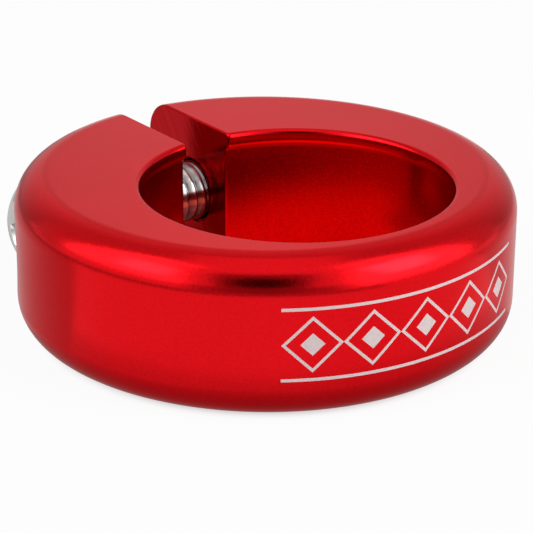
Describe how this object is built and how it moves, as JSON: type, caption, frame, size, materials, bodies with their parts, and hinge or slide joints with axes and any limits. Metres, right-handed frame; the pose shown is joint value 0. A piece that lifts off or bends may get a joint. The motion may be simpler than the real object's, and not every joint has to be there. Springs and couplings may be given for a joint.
{
  "type": "seatpost clamp",
  "caption": "Round off-centre clamp ring for a bicycle seat tube, with an inner lip, a sawn slit at its thick side and a domed hex-socket screw across the slit.",
  "frame": {"origin": "axis of the seat tube bore, at the ring's bottom face", "axes": "+Z along the bore, from the tube towards the saddle; +Y from the bore to the slit; +X along the screw, from its head to its tip"},
  "size_m": [0.0448, 0.0447, 0.0143],
  "materials": {
    "ring_anodised": "red anodised, satin",
    "screw_steel": "bright steel"
  },
  "bodies": {
    "ring": {"clamp_ring": "ring_anodised"},
    "screw": {"clamp_screw": "screw_steel"}
  },
  "joints": [
    {"name": "screw_turn", "type": "hinge", "parent": "ring", "child": "screw", "pos_m": [-0.01295, 0.01977, 0.00698], "axis": [1, 0, 0], "continuous": true}
  ]
}
